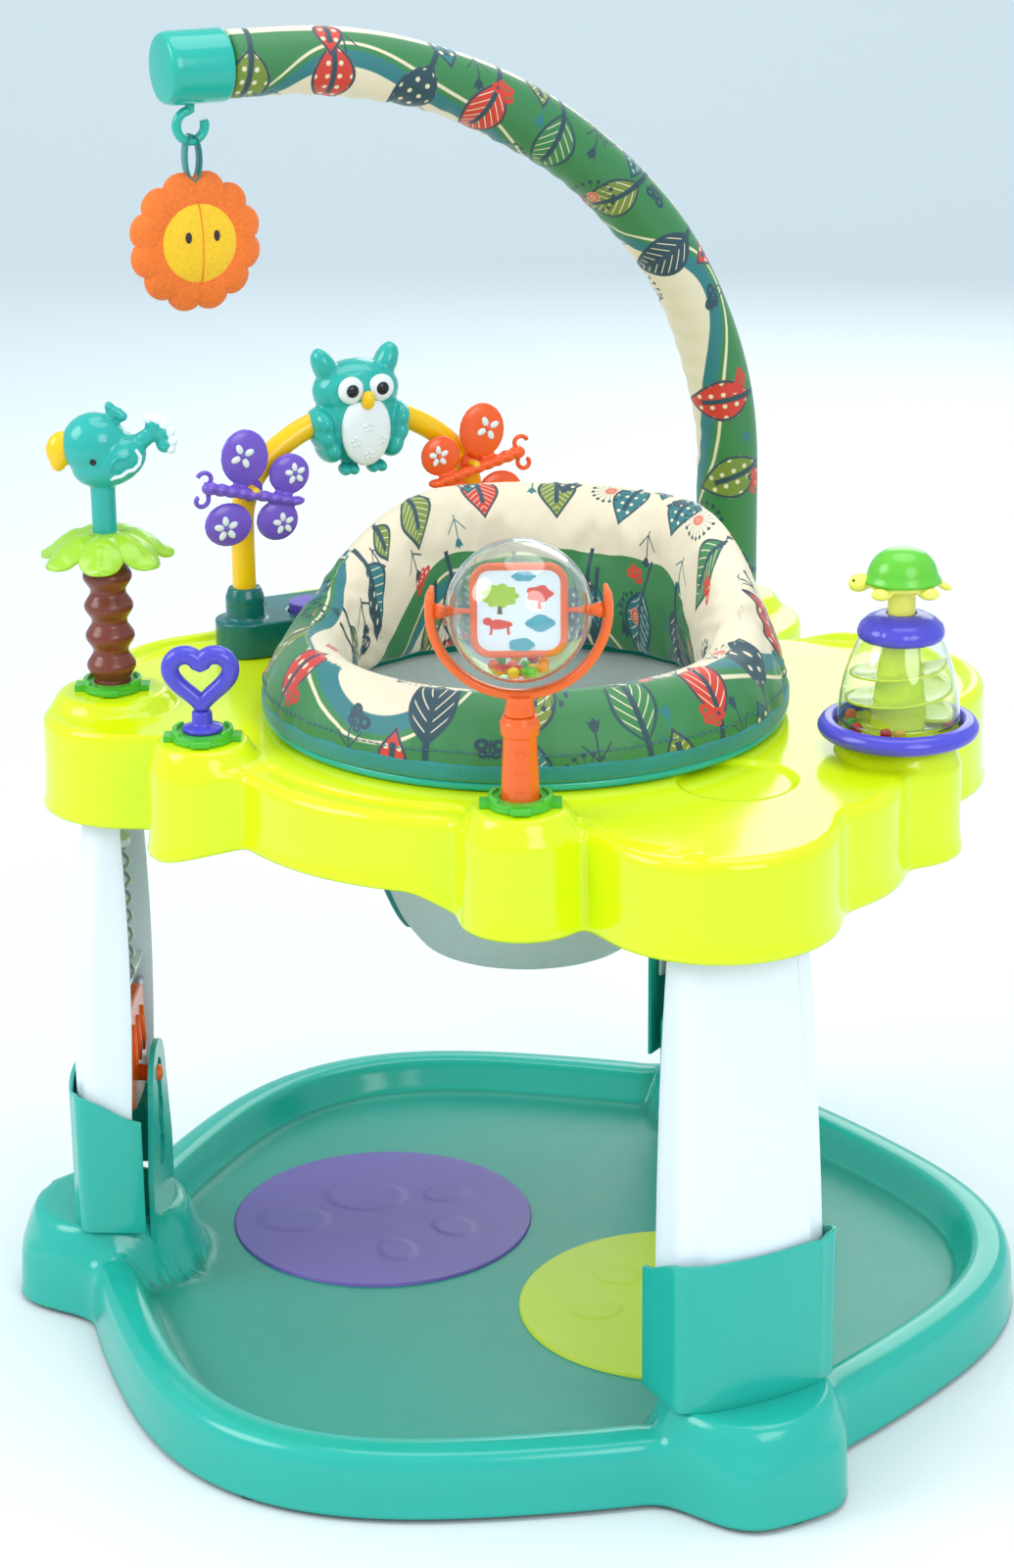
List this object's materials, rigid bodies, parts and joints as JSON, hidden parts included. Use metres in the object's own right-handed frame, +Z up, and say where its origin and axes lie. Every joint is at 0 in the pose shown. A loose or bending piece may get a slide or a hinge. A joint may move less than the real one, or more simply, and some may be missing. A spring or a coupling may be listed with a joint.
{
  "type": "activity jumper",
  "caption": "Standing baby activity jumper: round base on three height-adjustable legs, lime toy tray, turning padded seat, toys and an overhead toy bar.",
  "frame": {"origin": "centre of the bounding box at floor level, 12 mm in front of the centre of the ring of legs", "axes": "+Z up, -Y towards the side between the two front legs, +X towards the right of someone facing +Y; the back leg is on +Y"},
  "size_m": [0.6582, 0.716, 0.8892],
  "materials": {
    "base_plastic": "gloss",
    "disc_purple": "satin",
    "disc_lime": "satin",
    "rubber_pad": "matte",
    "white_plastic": "satin",
    "orange_plastic": "gloss",
    "steel": "satin",
    "tray_plastic": "gloss",
    "printed_fabric": "satin",
    "sling_fabric": "matte",
    "binding": "matte",
    "green_plastic": "gloss",
    "trunk_plastic": "satin",
    "leaf_plastic": "gloss",
    "yellow_plastic": "gloss",
    "violet_plastic": "gloss",
    "clear_plastic": "gloss",
    "card": "satin",
    "bead_mix": "gloss",
    "purple_plastic": "gloss",
    "board_plastic": "matte",
    "music_plastic": "gloss",
    "plush_orange": "matte",
    "plush_yellow": "matte"
  },
  "bodies": {
    "base": {"base_tray": "base_plastic", "floor_disc_purple": "disc_purple", "floor_disc_lime": "disc_lime", "foot_pads": "rubber_pad", "flip_foot_pin": "steel", "lower_leg_left": "base_plastic", "height_plate_left": "base_plastic", "lower_leg_right": "base_plastic", "height_plate_right": "base_plastic", "lower_leg_back": "base_plastic", "height_plate_back": "base_plastic"},
    "flip_foot": {"flip_foot": "white_plastic"},
    "legs": {"upper_leg_left": "white_plastic", "upper_leg_right": "white_plastic", "upper_leg_back": "white_plastic", "lever_pins": "steel", "leg_springs": "steel"},
    "tray": {"activity_tray": "tray_plastic", "leg_plungers": "white_plastic", "toy_clips": "green_plastic", "ball_post": "orange_plastic", "spinner_ring": "violet_plastic", "spinner_dome": "clear_plastic", "spinner_cap": "violet_plastic", "spinner_balls": "bead_mix", "music_base": "music_plastic", "music_electronics": "board_plastic", "arch_tube": "yellow_plastic", "bar_tube": "white_plastic", "bar_cover": "printed_fabric", "bar_cap": "base_plastic"},
    "seat": {"seat_ring": "base_plastic", "seat_retainer": "base_plastic", "seat_roll": "printed_fabric", "seat_back": "printed_fabric", "seat_sling": "sling_fabric"},
    "palm": {"palm_trunk": "trunk_plastic", "palm_leaves": "leaf_plastic"},
    "bird": {"bird_body": "base_plastic", "bird_beak": "yellow_plastic"},
    "heart": {"heart_loop": "violet_plastic"},
    "yoke": {"ball_yoke": "orange_plastic"},
    "ball": {"ball_shell": "clear_plastic", "picture_frame": "orange_plastic", "picture_card": "card", "ball_beads": "bead_mix"},
    "turtle": {"turtle_body": "tray_plastic", "turtle_shell": "green_plastic"},
    "spiral": {"spinner_spiral": "tray_plastic"},
    "music_button": {"music_button": "purple_plastic"},
    "owl": {"owl_body": "base_plastic", "owl_belly": "white_plastic"},
    "butterfly_left": {"butterfly_left": "purple_plastic"},
    "butterfly_right": {"butterfly_right": "orange_plastic"},
    "sun": {"sun_strap": "binding", "sun_rays": "plush_orange", "sun_face": "plush_yellow"},
    "lever_left": {"height_lever_left": "orange_plastic"},
    "lever_right": {"height_lever_right": "orange_plastic"},
    "lever_back": {"height_lever_back": "orange_plastic"}
  },
  "joints": [
    {"name": "height_adjust", "type": "slide", "parent": "base", "child": "legs", "axis": [0, 0, 1], "range_m": [-0.06, 0]},
    {"name": "tray_bounce", "type": "slide", "parent": "legs", "child": "tray", "axis": [0, 0, 1], "range_m": [-0.03, 0], "stiffness_N_per_m": 4000, "springref_m": 0.02, "deforming": ["leg_springs"]},
    {"name": "seat_turn", "type": "hinge", "parent": "tray", "child": "seat", "pos_m": [0, -0.012, 0.445], "axis": [0, 0, 1], "continuous": true},
    {"name": "flip_foot_hinge", "type": "hinge", "parent": "base", "child": "flip_foot", "pos_m": [0.005, -0.266, 0.0175], "axis": [1, 0, 0], "range_deg": [-75, 0]},
    {"name": "palm_sway", "type": "hinge", "parent": "tray", "child": "palm", "pos_m": [-0.25, -0.147, 0.453], "axis": [-0.5446, 0.8387, 0], "range_deg": [-8, 8], "stiffness_Nm_per_rad": 1.5},
    {"name": "bird_turn", "type": "hinge", "parent": "palm", "child": "bird", "pos_m": [-0.25, -0.147, 0.56], "axis": [0, 0, 1], "continuous": true},
    {"name": "heart_turn", "type": "hinge", "parent": "tray", "child": "heart", "pos_m": [-0.129, -0.203, 0.457], "axis": [0, 0, 1], "continuous": true},
    {"name": "yoke_turn", "type": "hinge", "parent": "tray", "child": "yoke", "pos_m": [0.119, -0.205, 0.51], "axis": [0, 0, 1], "continuous": true},
    {"name": "ball_spin", "type": "hinge", "parent": "yoke", "child": "ball", "pos_m": [0.119, -0.205, 0.575], "axis": [0.8387, 0.5446, 0], "continuous": true},
    {"name": "turtle_press", "type": "slide", "parent": "tray", "child": "turtle", "axis": [0, 0, 1], "range_m": [-0.012, 0], "stiffness_N_per_m": 150, "springref_m": 0.008},
    {"name": "spiral_spin", "type": "hinge", "parent": "tray", "child": "spiral", "pos_m": [0.257, 0.037, 0.47], "axis": [0, 0, 1], "range_deg": [0, 180]},
    {"name": "music_button_press", "type": "slide", "parent": "tray", "child": "music_button", "axis": [0, 0, 1], "range_m": [-0.0025, 0], "stiffness_N_per_m": 600, "springref_m": 0.003},
    {"name": "owl_rock", "type": "hinge", "parent": "tray", "child": "owl", "pos_m": [-0.195, 0.0715, 0.607], "axis": [0.5365, 0.8439, 0], "range_deg": [-20, 20]},
    {"name": "butterfly_left_turn", "type": "hinge", "parent": "tray", "child": "butterfly_left", "pos_m": [-0.24085, -0.00062, 0.562], "axis": [-0.8439, 0.5365, 0], "continuous": true},
    {"name": "butterfly_right_turn", "type": "hinge", "parent": "tray", "child": "butterfly_right", "pos_m": [-0.14915, 0.14362, 0.562], "axis": [-0.8439, 0.5365, 0], "continuous": true},
    {"name": "lever_left_press", "type": "hinge", "parent": "legs", "child": "lever_left", "pos_m": [-0.24335, -0.1525, 0.22], "axis": [-0.5, 0.866, 0], "range_deg": [0, 8], "stiffness_Nm_per_rad": 0.6, "springref_deg": -5.73},
    {"name": "lever_right_press", "type": "hinge", "parent": "legs", "child": "lever_right", "pos_m": [0.24335, -0.1525, 0.22], "axis": [-0.5, -0.866, 0], "range_deg": [0, 8], "stiffness_Nm_per_rad": 0.6, "springref_deg": -5.73},
    {"name": "lever_back_press", "type": "hinge", "parent": "legs", "child": "lever_back", "pos_m": [0, 0.269, 0.22], "axis": [1, 0, 0], "range_deg": [0, 8], "stiffness_Nm_per_rad": 0.6, "springref_deg": -5.73},
    {"name": "sun_swing", "type": "hinge", "parent": "tray", "child": "sun", "pos_m": [-0.21741, -0.0772, 0.81663], "axis": [-0.5075, -0.8616, 0], "range_deg": [-25, 25]}
  ],
  "couplings": [
    {"joint": "spiral_spin", "follows": "turtle_press", "rad_per_m": -250}
  ]
}
